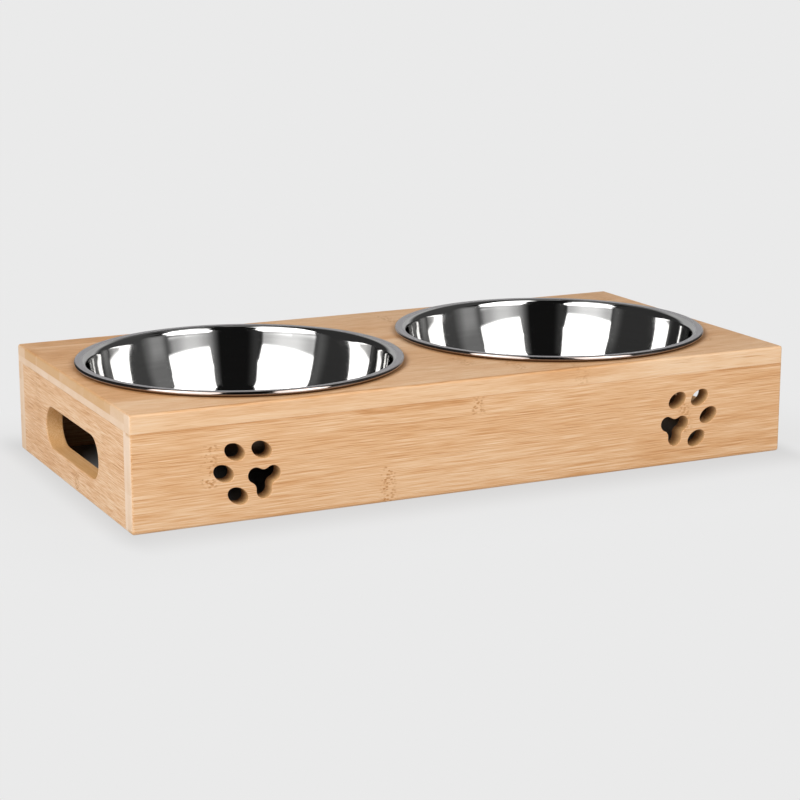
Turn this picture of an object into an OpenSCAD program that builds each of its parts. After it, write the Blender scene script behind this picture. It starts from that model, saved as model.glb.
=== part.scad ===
// Raised feeder for two steel bowls: a bamboo box of five panels, open below,
// joined by hidden dowels. The bowls hang by their rims in holes in the top panel.
// Origin: middle of the footprint, on the floor. X runs along the box, the front faces -Y.

/* [Bowls] */
// Outer diameter of a bowl's rim
rim_d = 186; // [120:1:260]
// Width of the rim, from its outer edge to the inside of the mouth
rim_w = 7.5; // [7:0.5:14]
// Diameter of the rolled bead around the rim
bead_d = 3; // [2:0.1:4]
// Thickness of the steel sheet
sheet_t = 0.6; // [0.4:0.1:1]
// Inside depth, from the top of the rim to the floor
bowl_depth = 48.5; // [35:0.5:58]
// Lean of the wall just under the mouth, in degrees from upright
wall_lean = 9; // [4:1:15]
// Inside radius of the wall's curve from the mouth down, seen from the side
wall_r = 138; // [70:1:200]
// Inside radius where the wall meets the floor
floor_r = 25; // [10:1:30]
// Radius over which the rim turns down into the wall
mouth_r = 4.2; // [1.5:0.1:4.5]
// Radial clearance between the bowl's neck and its hole
bowl_gap = 1.5; // [0.5:0.1:2]

/* [Box] */
// Height of the wooden box, without the bowls' rims
stand_h = 63; // [60:1:120]
// Thickness of every panel
panel_t = 10; // [9:0.5:14]
// Wood left between the two rims
rim_gap = 14; // [4:1:60]
// Wood left between a rim and the outer edges of the top
rim_margin = 7; // [6:0.5:40]
// Radius on the sanded outer edges
edge_r = 1.5; // [0.5:0.1:3]

/* [Handle slots] */
// Length of the slot in each end panel
slot_l = 94; // [70:1:104]
// Height of the slot, which is also the diameter of its round ends
slot_h = 24; // [18:1:28]

/* [Paw cut-outs] */
// Distance from the end of the box to the middle of the paw's pad
paw_inset = 72.5; // [60:0.5:110]
// How far the pad's middle sits below the middle of the front panel
paw_drop = 5; // [0:0.5:8]
// Turn of the paw from upright, outwards, in degrees
paw_turn = 60; // [0:5:90]
// Length of a toe hole
toe_l = 12.2; // [8:0.1:13]
// Width of a toe hole
toe_w = 8.6; // [6:0.1:10]
// Distance of the inner toes from the pad's middle, along the paw
inner_toe_out = 21.8; // [20:0.1:24]
// Distance of the inner toes from the paw's centre line
inner_toe_side = 6.3; // [5.5:0.1:8]
// Distance of the outer toes from the pad's middle, along the paw
outer_toe_out = 8.6; // [6:0.1:10]
// Distance of the outer toes from the paw's centre line
outer_toe_side = 13.6; // [12.5:0.1:15]
// Radius of the pad's three lobes
lobe_r = 4.3; // [3.5:0.1:5]
// Distance of the front lobe from the pad's middle
lobe_front = 4.8; // [4:0.1:6]
// Distance of the two rear lobes behind the pad's middle
lobe_rear = 3.5; // [2:0.1:4]
// Distance of the two rear lobes from the paw's centre line
lobe_side = 5.1; // [4.5:0.1:6]
// Radius of the hollows between the lobes
notch_r = 4; // [2:0.1:6]

/* [Dowels] */
// Diameter of a dowel
dowel_d = 5; // [4:0.5:6]
// Depth of a dowel in the face of a panel
dowel_face = 6; // [4:0.5:7]
// Depth of a dowel in the edge of a panel
dowel_edge = 12; // [8:1:14]
// Radial glue gap around a dowel
dowel_gap = 0.05; // [0.02:0.01:0.1]
// Glue room past each end of a dowel
dowel_end_gap = 0.5; // [0.3:0.1:1]
// Chamfer on the ends of a dowel
dowel_chamfer = 0.6; // [0.3:0.1:1]
// Distance of a corner's dowels from the panel's lower and upper edges
corner_inset = 12; // [8:1:16]
// Distance of the outer dowels along the top from the ends of the panel under it
top_inset = 25; // [20:1:35]
// Distance of the inner dowels along the top from the middle of the long panels
top_middle = 60; // [10:1:80]

/* [Hidden] */
// Smoothness of round faces
$fn = 96;
// Steps in the arcs of the rolled bead, and of the other bowl arcs
bead_steps = 20;
arc_steps = 12;
// Steps round a toe hole
toe_steps = 40;
// Overlap that makes a cut pass clean through a face
cut = 1;

// Plan of the box, set by the bowls and the wood around them
bowl_pitch = rim_d + rim_gap;
stand_l = bowl_pitch + rim_d + 2 * rim_margin;
stand_d = rim_d + 2 * rim_margin;
joint_z = stand_h - panel_t;
inner_l = stand_l - 2 * panel_t;
inner_d = stand_d - 2 * panel_t;

// Bowl profile. The bead is a coil of the sheet whose lowest facet lies flat on the top panel.
bead_sweep = 288;
bead_centre = [(rim_d - bead_d) / 2, stand_h + bead_d / 2 * cos(bead_sweep / bead_steps / 2)];
rim_top_z = bead_centre[1] + bead_d / 2;
mouth_centre = [rim_d / 2 - rim_w + mouth_r * cos(wall_lean), rim_top_z - mouth_r];
wall_centre = mouth_centre + (mouth_r + wall_r) * [-cos(wall_lean), sin(wall_lean)];
floor_centre_z = rim_top_z - bowl_depth + floor_r;
wall_foot_lean = asin((wall_centre[1] - floor_centre_z) / (wall_r - floor_r));
floor_centre = [wall_centre[0] + (wall_r - floor_r) * cos(wall_foot_lean), floor_centre_z];
// The neck is the sheet at the level of the top panel's face, its widest part below the rim
neck_rise = max(0, stand_h - mouth_centre[1]);
neck_r = mouth_centre[0] - sqrt(pow(mouth_r - sheet_t, 2) - pow(neck_rise, 2));
hole_r = neck_r + bowl_gap;

// Places of the dowels
corner_dowel_z = [corner_inset, joint_z - corner_inset];
long_dowel_x = [for (x = [stand_l / 2 - top_inset, top_middle], side = [-1, 1]) side * x];
short_dowel_y = [for (side = [-1, 1]) side * (inner_d / 2 - top_inset)];

bamboo = "burlywood";
dowel_wood = "wheat";
steel = "silver";

function reversed(points) = [for (i = [len(points) - 1:-1:0]) points[i]];
function arc(centre, r, from, to, steps) =
    [for (i = [0:steps]) let (a = from + (to - from) * i / steps) centre + r * [cos(a), sin(a)]];
function without_ends(points) = [for (i = [1:len(points) - 2]) points[i]];
function heading(v) = atan2(v[1], v[0]);

// Rectangle with round corners, centred
module rounded_rect(size, r) {
    square([size[0] - 2 * r, size[1]], center = true);
    square([size[0], size[1] - 2 * r], center = true);
    for (x = [-1, 1], y = [-1, 1])
        translate([x * (size[0] / 2 - r), y * (size[1] / 2 - r)]) circle(r);
}

// The whole box as one block with its outer edges sanded round
module sanded_block() {
    intersection() {
        linear_extrude(stand_h) rounded_rect([stand_l, stand_d], edge_r);
        translate([0, stand_d / 2, stand_h / 2]) rotate([90, 0, 0])
            linear_extrude(stand_d) rounded_rect([stand_l, stand_h], edge_r);
        translate([-stand_l / 2, 0, stand_h / 2]) rotate([90, 0, 90])
            linear_extrude(stand_l) rounded_rect([stand_d, stand_h], edge_r);
    }
}

// A panel: the part of the sanded block between two corners
module panel(low, high) {
    intersection() {
        translate(low) cube(high - low);
        sanded_block();
    }
}

// Dowel on the Z axis: its joint at 0, its face end above, its edge end below
module dowel() {
    r = dowel_d / 2;
    rotate_extrude() polygon([
        [0, -dowel_edge], [r - dowel_chamfer, -dowel_edge], [r, -dowel_edge + dowel_chamfer],
        [r, dowel_face - dowel_chamfer], [r - dowel_chamfer, dowel_face], [0, dowel_face]
    ]);
}

// Hole for a dowel, through both panels that it joins
module dowel_hole() {
    translate([0, 0, -dowel_edge - dowel_end_gap])
        cylinder(h = dowel_edge + dowel_face + 2 * dowel_end_gap, r = dowel_d / 2 + dowel_gap);
}

// Places of the dowels in one upright corner; each one's face end points out of the box
module at_corner(x_side, y_side) {
    for (z = corner_dowel_z)
        translate([x_side * (stand_l - panel_t) / 2, y_side * inner_d / 2, z])
            rotate([-90 * y_side, 0, 0]) children();
}

// Places of the dowels between the top and the front or back panel
module at_top_long(y_side) {
    for (x = long_dowel_x) translate([x, y_side * (stand_d - panel_t) / 2, joint_z]) children();
}

// Places of the dowels between the top and an end panel
module at_top_short(x_side) {
    for (y = short_dowel_y) translate([x_side * (stand_l - panel_t) / 2, y, joint_z]) children();
}

// Outline of a toe hole, long along Y
function toe_outline() =
    [for (i = [0:toe_steps - 1]) let (a = 360 * i / toe_steps) [toe_w / 2 * cos(a), toe_l / 2 * sin(a)]];

// Outline of the pad: three lobes, with a round hollow between each two
lobes = [[0, lobe_front], [-lobe_side, -lobe_rear], [lobe_side, -lobe_rear]];
function hollow_centre(p, q) =
    let (d = norm(q - p), out = [q[1] - p[1], p[0] - q[0]] / d)
    (p + q) / 2 + out * sqrt(pow(lobe_r + notch_r, 2) - d * d / 4);
function pad_outline() = [
    for (i = [0:2])
        let (
            here = lobes[i], next = lobes[(i + 1) % 3], last = lobes[(i + 2) % 3],
            after = hollow_centre(here, next), before = hollow_centre(last, here),
            a0 = heading(before - here), a1 = heading(after - here),
            b0 = heading(here - after), b1 = heading(next - after),
            bulge = arc(here, lobe_r, a0, a1 < a0 ? a1 + 360 : a1, arc_steps),
            hollow = arc(after, notch_r, b0, b1 > b0 ? b1 - 360 : b1, arc_steps)
        )
        each concat(bulge, without_ends(hollow))
];

// Paw, flat and upright, with the pad's middle at the origin
module paw() {
    polygon(pad_outline());
    for (side = [-1, 1]) {
        translate([side * inner_toe_side, inner_toe_out]) polygon(toe_outline());
        translate([side * outer_toe_side, outer_toe_out]) polygon(toe_outline());
    }
}

module top_panel() {
    color(bamboo) difference() {
        panel([-stand_l / 2, -stand_d / 2, joint_z], [stand_l / 2, stand_d / 2, stand_h]);
        for (side = [-1, 1]) {
            translate([side * bowl_pitch / 2, 0, joint_z - cut])
                cylinder(h = panel_t + 2 * cut, r = hole_r);
            at_top_long(side) dowel_hole();
            at_top_short(side) dowel_hole();
        }
    }
}

// Front or back panel, before any cut-out
module long_panel(y_side) {
    outer = y_side * stand_d / 2;
    inner = y_side * inner_d / 2;
    difference() {
        panel([-stand_l / 2, min(outer, inner), 0], [stand_l / 2, max(outer, inner), joint_z]);
        at_top_long(y_side) dowel_hole();
        for (side = [-1, 1]) at_corner(side, y_side) dowel_hole();
    }
}

module front_panel() {
    color(bamboo) difference() {
        long_panel(-1);
        for (side = [-1, 1])
            translate([side * (stand_l / 2 - paw_inset), -inner_d / 2 + cut, joint_z / 2 - paw_drop])
                rotate([90, 0, 0]) linear_extrude(panel_t + 2 * cut)
                    rotate(-side * paw_turn) paw();
    }
}

module back_panel() {
    color(bamboo) long_panel(1);
}

module end_panel(x_side) {
    outer = x_side * stand_l / 2;
    inner = x_side * inner_l / 2;
    straight = slot_l - slot_h;
    color(bamboo) difference() {
        panel([min(outer, inner), -inner_d / 2, 0], [max(outer, inner), inner_d / 2, joint_z]);
        translate([min(outer, inner) - cut, 0, joint_z / 2]) {
            translate([0, -straight / 2, -slot_h / 2]) cube([panel_t + 2 * cut, straight, slot_h]);
            for (side = [-1, 1])
                translate([0, side * straight / 2, 0]) rotate([0, 90, 0])
                    cylinder(h = panel_t + 2 * cut, d = slot_h);
        }
        at_top_short(x_side) dowel_hole();
        for (side = [-1, 1]) at_corner(x_side, side) dowel_hole();
    }
}

// One face of the bowl's sheet from the middle of the floor to the end of the bead.
// Depth is how far the face lies under the upper one.
function sheet_face(depth) = concat(
    [[0, rim_top_z - bowl_depth - depth]],
    arc(floor_centre, floor_r + depth, -90, -wall_foot_lean, arc_steps),
    without_ends(arc(wall_centre, wall_r + depth, -wall_foot_lean, -wall_lean, arc_steps)),
    arc(mouth_centre, mouth_r - depth, 180 - wall_lean, 90, arc_steps),
    arc(bead_centre, bead_d / 2 - depth, 90, 90 - bead_sweep, bead_steps)
);

module bowl(x_side) {
    color(steel) translate([x_side * bowl_pitch / 2, 0, 0])
        rotate_extrude() polygon(concat(sheet_face(0), reversed(sheet_face(sheet_t))));
}

module corner_dowels(x_side, y_side) {
    color(dowel_wood) at_corner(x_side, y_side) dowel();
}

module top_dowels_long(y_side) {
    color(dowel_wood) at_top_long(y_side) dowel();
}

module top_dowels_short(x_side) {
    color(dowel_wood) at_top_short(x_side) dowel();
}

top_panel();
front_panel();
back_panel();
end_panel(-1);  // left_end_panel
end_panel(1);  // right_end_panel
bowl(-1);  // left_bowl
bowl(1);  // right_bowl
corner_dowels(-1, -1);  // corner_dowels_front_left
corner_dowels(1, -1);  // corner_dowels_front_right
corner_dowels(-1, 1);  // corner_dowels_back_left
corner_dowels(1, 1);  // corner_dowels_back_right
top_dowels_long(-1);  // top_dowels_front
top_dowels_long(1);  // top_dowels_back
top_dowels_short(-1);  // top_dowels_left
top_dowels_short(1);  // top_dowels_right
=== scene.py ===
"""Looks of a bamboo feeder box with two loose steel bowls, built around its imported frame."""

import logging
import math
from collections.abc import Callable, Sequence
from dataclasses import dataclass, field
from enum import Enum
from typing import Any

import bmesh
import bpy
from mathutils import Matrix, Vector


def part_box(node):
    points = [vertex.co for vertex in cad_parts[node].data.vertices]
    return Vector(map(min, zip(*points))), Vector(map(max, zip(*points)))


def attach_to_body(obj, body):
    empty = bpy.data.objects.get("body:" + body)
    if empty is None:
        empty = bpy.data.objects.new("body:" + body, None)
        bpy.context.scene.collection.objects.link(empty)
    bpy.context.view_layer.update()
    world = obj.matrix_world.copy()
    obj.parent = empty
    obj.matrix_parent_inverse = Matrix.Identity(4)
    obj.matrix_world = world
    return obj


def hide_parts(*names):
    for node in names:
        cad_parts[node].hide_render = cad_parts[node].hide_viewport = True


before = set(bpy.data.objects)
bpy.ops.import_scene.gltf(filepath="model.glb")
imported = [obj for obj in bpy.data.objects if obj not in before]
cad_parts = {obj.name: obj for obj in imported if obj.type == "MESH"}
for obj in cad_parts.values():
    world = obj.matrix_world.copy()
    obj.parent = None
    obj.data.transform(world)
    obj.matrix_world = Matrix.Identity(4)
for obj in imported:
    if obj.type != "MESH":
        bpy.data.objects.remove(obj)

MM = 0.001
QUARTER_TURN = 90.0
HALF_TURN = 180.0
FULL_TURN = 360.0
CUT_ATTRIBUTE = "cut"
SIDES = (-1, 1)
# Mean of noise and of a random number.
MEAN = 0.5
# Places of the colour sockets on a Mix node.
MIX_FIRST, MIX_SECOND, MIX_RESULT = 6, 7, 2

Point = tuple[float, float]
Colour = tuple[float, float, float]
Contour = Callable[[float], list[Point]]
Loop = list[bmesh.types.BMVert]
Shares = tuple[tuple[str, float], ...]

log = logging.getLogger("feeder")


class Lay(Enum):
    """How a board lies: the axes along its grain, across its strips and through its thickness."""

    TOP = (0, 1, 2)
    LONG = (0, 2, 1)
    END = (1, 2, 0)


class Side(Enum):
    """A side of the box or of an axis, with its sign."""

    LOW = -1
    HIGH = 1


class Wire:
    """An output socket that takes part in arithmetic: each operator adds a Math node."""

    def __init__(self, graph: "Graph", socket: bpy.types.NodeSocket) -> None:
        """Keeps the socket and the graph that it belongs to."""
        self.graph = graph
        self.socket = socket

    def output(self, name: str) -> "Wire":
        """Gives another output of the same node."""
        return Wire(self.graph, self.socket.node.outputs[name])

    def __add__(self, other: "Wire | float") -> "Wire":
        """Adds a wire or number."""
        return self.graph.math("ADD", self, other)

    __radd__ = __add__

    def __sub__(self, other: "Wire | float") -> "Wire":
        """Takes a wire or number away."""
        return self.graph.math("SUBTRACT", self, other)

    def __rsub__(self, other: float) -> "Wire":
        """Takes this wire away from a number."""
        return self.graph.math("SUBTRACT", other, self)

    def __mul__(self, other: "Wire | float") -> "Wire":
        """Multiplies by a wire or number."""
        return self.graph.math("MULTIPLY", self, other)

    __rmul__ = __mul__

    def __truediv__(self, other: "Wire | float") -> "Wire":
        """Divides by a wire or number."""
        return self.graph.math("DIVIDE", self, other)

    def __rtruediv__(self, other: float) -> "Wire":
        """Divides a number by this wire."""
        return self.graph.math("DIVIDE", other, self)

    def __abs__(self) -> "Wire":
        """Drops the sign."""
        return self.graph.math("ABSOLUTE", self)

    def call(self, operation: str, *others: "Wire | float") -> "Wire":
        """Runs a named Math operation with this wire as its first value."""
        return self.graph.math(operation, self, *others)

    def step(self, low: float, high: float) -> "Wire":
        """Rises smoothly from 0 at low to 1 at high.

        Args:
            low: Value at which the rise starts.
            high: Value at which the rise ends.

        Returns:
            The smooth step.
        """
        limits = {"From Min": low, "From Max": high, "Value": self}
        return self.graph.node("ShaderNodeMapRange", {"interpolation_type": "SMOOTHSTEP"}, limits)

    def within(self, low: float, high: float, blur: float) -> "Wire":
        """Is 1 between two values and falls to 0 outside them, over a blur on each side."""
        return self.step(low - blur, low + blur) * (1.0 - self.step(high - blur, high + blur))


class Graph:
    """A node tree with short ways to add nodes and wire them."""

    def __init__(self, tree: bpy.types.NodeTree) -> None:
        """Takes the tree that the nodes go into."""
        self.tree = tree

    def node(
        self,
        kind: str,
        settings: dict[str, Any] | None = None,
        sockets: dict[str | int, Any] | None = None,
        output: str | int = 0,
    ) -> Wire:
        """Adds a node, sets it up and wires it.

        Args:
            kind: The node's type.
            settings: The node's own properties, or "stops" for a ramp's places and colours.
            sockets: Values or wires for its inputs, by name or place.
            output: The output to give back, by name or place.

        Returns:
            That output of the node.
        """
        node = self.tree.nodes.new(kind)
        for name, value in (settings or {}).items():
            if name == "stops":
                self._set_stops(node.color_ramp, value)
            else:
                setattr(node, name, value)
        for key, value in (sockets or {}).items():
            if isinstance(value, Wire):
                self.tree.links.new(value.socket, node.inputs[key])
            else:
                node.inputs[key].default_value = value
        return Wire(self, node.outputs[output]) if len(node.outputs) else Wire(self, node.inputs[0])

    @staticmethod
    def _set_stops(ramp: bpy.types.ColorRamp, stops: Sequence[tuple[float, Colour]]) -> None:
        """Gives a ramp its places and colours.

        Args:
            ramp: The ramp.
            stops: Its places and colours.
        """
        while len(ramp.elements) < len(stops):
            ramp.elements.new(1.0)
        for element, (place, colour) in zip(ramp.elements, stops):
            element.position = place
            element.color = (*colour, 1.0)

    def math(self, operation: str, *values: Wire | float) -> Wire:
        """Adds a Math node on wires or numbers."""
        return self.node("ShaderNodeMath", {"operation": operation}, dict(enumerate(values)))

    def vector(self, x: Wire | float, y: Wire | float, z: Wire | float) -> Wire:
        """Joins three values into a vector."""
        return self.node("ShaderNodeCombineXYZ", {}, {0: x, 1: y, 2: z})

    def split(self, vector: Wire) -> tuple[Wire, Wire, Wire]:
        """Splits a vector into its three values."""
        x = self.node("ShaderNodeSeparateXYZ", {}, {0: vector})
        return x, x.output("Y"), x.output("Z")


class MaterialGraph(Graph):
    """The node tree of one material, with the textures that the finishes share."""

    def __init__(self, name: str) -> None:
        """Starts an empty material of that name.

        Args:
            name: The material's name.
        """
        self.material = bpy.data.materials.new(name)
        self.material.use_nodes = True
        self.material.node_tree.nodes.clear()
        super().__init__(self.material.node_tree)
        self.place = self.node("ShaderNodeTexCoord", {}, {}, "Object")

    def noise(self, vector: Wire, detail: float = 2.0, roughness: float = 0.5) -> Wire:
        """Adds soft noise about 0."""
        values = {"Vector": vector, "Scale": 1.0, "Detail": detail, "Roughness": roughness}
        return self.node("ShaderNodeTexNoise", {}, values) - MEAN

    def cells(self, vector: Wire) -> Wire:
        """Adds the distance to the nearest of scattered points, one to a unit cell."""
        return self.node("ShaderNodeTexVoronoi", {}, {"Vector": vector, "Scale": 1.0}, "Distance")

    def chance(self, x: Wire | float, y: Wire | float, z: Wire | float) -> tuple[Wire, Wire, Wire]:
        """Gives three random numbers from 0 to 1 that depend only on the keys."""
        keys = {"Vector": self.vector(x, y, z)}
        return self.split(self.node("ShaderNodeTexWhiteNoise", {}, keys, "Color"))

    def mix(self, factor: Wire | float, first: Wire | Colour, second: Wire | Colour) -> Wire:
        """Blends two colours.

        Args:
            factor: Share of the second colour.
            first: Colour at 0.
            second: Colour at 1.

        Returns:
            The blended colour.
        """
        colours = [c if isinstance(c, Wire) else (*c, 1.0) for c in (first, second)]
        sockets = {"Factor": factor, MIX_FIRST: colours[0], MIX_SECOND: colours[1]}
        return self.node("ShaderNodeMix", {"data_type": "RGBA"}, sockets, MIX_RESULT)

    def ramp(self, factor: Wire, stops: Sequence[tuple[float, Colour]]) -> Wire:
        """Turns a value into a colour by a ramp's stops."""
        return self.node("ShaderNodeValToRGB", {"stops": stops}, {"Fac": factor})

    def bump(self, height: Wire, strength: float) -> Wire:
        """Turns a height in millimetres into a bent normal."""
        return self.node("ShaderNodeBump", {}, {"Height": height, "Distance": MM, "Strength": strength})

    def close(self, sockets: dict[str | int, Any]) -> bpy.types.Material:
        """Ends the material in a Principled shader.

        Args:
            sockets: Values or wires for the shader's inputs.

        Returns:
            The finished material.
        """
        shader = self.node("ShaderNodeBsdfPrincipled", {}, sockets)
        self.node("ShaderNodeOutputMaterial", {}, {"Surface": shader})
        return self.material


class GeometryGraph(Graph):
    """A Geometry Nodes tree with named inputs, whose result becomes a plain mesh."""

    def __init__(self, name: str) -> None:
        """Starts a tree that takes and gives geometry.

        Args:
            name: The tree's name.
        """
        super().__init__(bpy.data.node_groups.new(name, "GeometryNodeTree"))
        self.entry = self.tree.nodes.new("NodeGroupInput")
        self.start = self.size("Geometry", "Geometry")
        self.tree.interface.new_socket("Geometry", in_out="OUTPUT", socket_type="NodeSocketGeometry")

    def size(self, name: str, kind: str = "Float") -> Wire:
        """Adds a named input and gives its wire."""
        self.tree.interface.new_socket(name, in_out="INPUT", socket_type=f"NodeSocket{kind}")
        return Wire(self, self.entry.outputs[name])

    def close(self, geometry: Wire) -> None:
        """Ends the tree in Realize Instances and Set Material, with a Material input.

        Args:
            geometry: What the tree has made.
        """
        whole = self.node("GeometryNodeRealizeInstances", {}, {"Geometry": geometry})
        dressed = {"Geometry": whole, "Material": self.size("Material", "Material")}
        dressed = self.node("GeometryNodeSetMaterial", {}, dressed)
        self.node("NodeGroupOutput", {}, {"Geometry": dressed})

    def make(self, piece: bpy.types.Object, values: dict[str, Any]) -> None:
        """Runs the tree on an object and keeps the result as its plain mesh.

        Args:
            piece: The object whose mesh the tree starts from.
            values: The tree's inputs by name.
        """
        modifier = piece.modifiers.new(self.tree.name, "NODES")
        modifier.node_group = self.tree
        for item in self.tree.interface.items_tree:
            if item.in_out == "INPUT" and item.name in values:
                modifier[item.identifier] = values[item.name]
        bake_modifiers(piece)


def bake_modifiers(piece: bpy.types.Object) -> None:
    """Turns an object's modifiers into its plain mesh.

    Args:
        piece: The object, which keeps its name.
    """
    graph = bpy.context.evaluated_depsgraph_get()
    start = piece.data
    piece.data = bpy.data.meshes.new_from_object(piece.evaluated_get(graph))
    piece.modifiers.clear()
    bpy.data.meshes.remove(start)
    piece.data.name = piece.name


def new_piece(name: str, mesh: bpy.types.Mesh | None = None) -> bpy.types.Object:
    """Makes an object at the origin, with the mesh given or an empty one.

    Args:
        name: The object's name.
        mesh: Its mesh, if there is one already.

    Returns:
        The object.
    """
    piece = bpy.data.objects.new(name, mesh or bpy.data.meshes.new(name))
    bpy.context.scene.collection.objects.link(piece)
    return piece


def attach(piece: bpy.types.Object, body: str, node: str) -> None:
    """Ties a finished piece to the frame.

    Args:
        piece: The piece.
        body: The body that it moves with.
        node: The CAD node that it stands for.
    """
    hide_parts(node)
    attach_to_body(piece, body)
    log.info("%s stands for %s, %d faces", piece.name, node, len(piece.data.polygons))


def arc(centre: Point, radius: float, start: float, end: float, steps: int) -> list[Point]:
    """Gives points along an arc.

    Args:
        centre: Middle of the arc.
        radius: Its radius.
        start: First angle in degrees.
        end: Last angle in degrees.
        steps: Number of steps between them.

    Returns:
        The points, both ends included.
    """
    angles = [math.radians(start + (end - start) * i / steps) for i in range(steps + 1)]
    return [(centre[0] + radius * math.cos(a), centre[1] + radius * math.sin(a)) for a in angles]


def circle(centre: Point, radius: float, steps: int) -> list[Point]:
    """Gives points round a circle, each once."""
    return arc(centre, radius, 0.0, FULL_TURN, steps)[:-1]


def disc(centre: Point, radius: float, steps: int) -> Contour:
    """Gives a round contour that can be grown."""
    return lambda grow: circle(centre, radius + grow, steps)


def oval(width: float, length: float, steps: int) -> Contour:
    """Gives an oval contour about the origin, long along the second axis, that can be grown.

    Args:
        width: Its size along the first axis.
        length: Its size along the second axis.
        steps: Number of points.

    Returns:
        The contour.
    """

    def points(grow: float) -> list[Point]:
        """Gives the oval's points, grown."""
        ring = circle((0.0, 0.0), 1.0, steps)
        return [(x * (width / 2 + grow), y * (length / 2 + grow)) for x, y in ring]

    return points


def stadium(centre: Point, length: float, height: float, steps: int) -> Contour:
    """Gives a slot with round ends that can be grown.

    Args:
        centre: Its middle.
        length: Its whole length.
        height: Its height.
        steps: Number of steps round each end.

    Returns:
        The contour.
    """
    reach = (length - height) / 2

    def points(grow: float) -> list[Point]:
        """Gives the slot's points, grown.

        Args:
            grow: Distance by which the contour moves outwards.

        Returns:
            The points, counter-clockwise.
        """
        radius = height / 2 + grow
        right = arc((centre[0] + reach, centre[1]), radius, -QUARTER_TURN, QUARTER_TURN, steps)
        left = arc((centre[0] - reach, centre[1]), radius, QUARTER_TURN, FULL_TURN - QUARTER_TURN, steps)
        return right + left

    return points


def turned(contour: Contour, turn: float, shift: Point) -> Contour:
    """Turns a contour by an angle in degrees, then shifts it."""
    c, s = math.cos(math.radians(turn)), math.sin(math.radians(turn))
    return lambda grow: [(c * x - s * y + shift[0], s * x + c * y + shift[1]) for x, y in contour(grow)]


@dataclass(frozen=True)
class Paw:
    """A paw of four toe holes and a three-lobed pad, in metres, upright about its pad."""

    toe_l: float = 12.2 * MM
    toe_w: float = 8.6 * MM
    toes: tuple[Point, ...] = tuple(
        (side * x * MM, y * MM) for x, y in ((6.3, 21.8), (13.6, 8.6)) for side in SIDES
    )
    lobe_r: float = 4.3 * MM
    lobe_front: float = 4.8 * MM
    lobe_rear: float = 3.5 * MM
    lobe_side: float = 5.1 * MM
    hollow_r: float = 4.0 * MM
    toe_steps: int = 40
    arc_steps: int = 14

    def _hollow(self, p: Vector, q: Vector) -> Vector:
        """Gives the middle of the round hollow between two lobes.

        Args:
            p: Middle of the first lobe.
            q: Middle of the next lobe.

        Returns:
            The hollow's middle.
        """
        gap = q - p
        out = Vector((gap.y, -gap.x)).normalized()
        rise = math.sqrt((self.lobe_r + self.hollow_r) ** 2 - gap.length_squared / 4)
        return (p + q) / 2 + out * rise

    def pad(self, grow: float) -> list[Point]:
        """Gives the pad's contour, grown.

        Args:
            grow: Distance by which the contour moves outwards.

        Returns:
            Points counter-clockwise: a bulge at each lobe and a hollow after it.
        """
        lobes = [
            Vector((0.0, self.lobe_front)),
            Vector((-self.lobe_side, -self.lobe_rear)),
            Vector((self.lobe_side, -self.lobe_rear)),
        ]
        points: list[Point] = []
        for i, here in enumerate(lobes):
            there = lobes[(i + 1) % len(lobes)]
            after = self._hollow(here, there)
            before = self._hollow(lobes[i - 1], here)
            start, end = (math.degrees(math.atan2(*(c - here).yx)) for c in (before, after))
            end += FULL_TURN if end < start else 0.0
            points += arc(here, self.lobe_r + grow, start, end, self.arc_steps)
            start, end = (math.degrees(math.atan2(*(c - after).yx)) for c in (here, there))
            end -= FULL_TURN if end > start else 0.0
            points += arc(after, self.hollow_r - grow, start, end, self.arc_steps)[1:-1]
        return points

    def contours(self, turn: float, centre: Point) -> list[Contour]:
        """Gives the five holes of a paw that is turned and put in its place."""
        toes = [turned(oval(self.toe_w, self.toe_l, self.toe_steps), 0, toe) for toe in self.toes]
        return [turned(hole, turn, centre) for hole in (*toes, self.pad)]


@dataclass(frozen=True)
class Cut:
    """A hole in a board: its contour, its eased lip, and how scorched its wall is, which also brings painted
    shade that darkens the wall deeper in.

    A hole without a depth goes through the board.
    """

    contour: Contour
    lip: float = 0.0
    depth: float | None = None
    scorch_and_shade: float = 1.0


@dataclass(frozen=True)
class Knuckle:
    """A node of the cane, which crosses one strip as a grainy bar. All in millimetres."""

    along: float
    low: float
    high: float
    weight: float = 1.0


@dataclass(frozen=True)
class Streak:
    """A stretch of a strip that is darker or, above 0, paler than the rest. Places in millimetres."""

    start: float
    end: float
    low: float
    high: float
    tone: float
    fade: float = 12.0


def metres(span: Point, start: float = 0.0) -> Point:
    """Turns a range in millimetres, counted from a start in metres, into metres."""
    return start + span[0] * MM, start + span[1] * MM


def blend(patterns: dict[str, Wire], shares: Shares, base: float = 0.0) -> Wire:
    """Adds up patterns, each by its share.

    Args:
        patterns: The patterns by name.
        shares: The names of those that count, with their shares.
        base: The value that they are added to.

    Returns:
        The sum.
    """
    total: Wire | float = base
    for name, share in shares:
        total = patterns[name] * share + total
    return total


@dataclass(frozen=True)
class Fibre:
    """Noise drawn out along the grain: its length and width in millimetres, and its detail."""

    length: float
    width: float
    detail: float = 2.0


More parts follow.
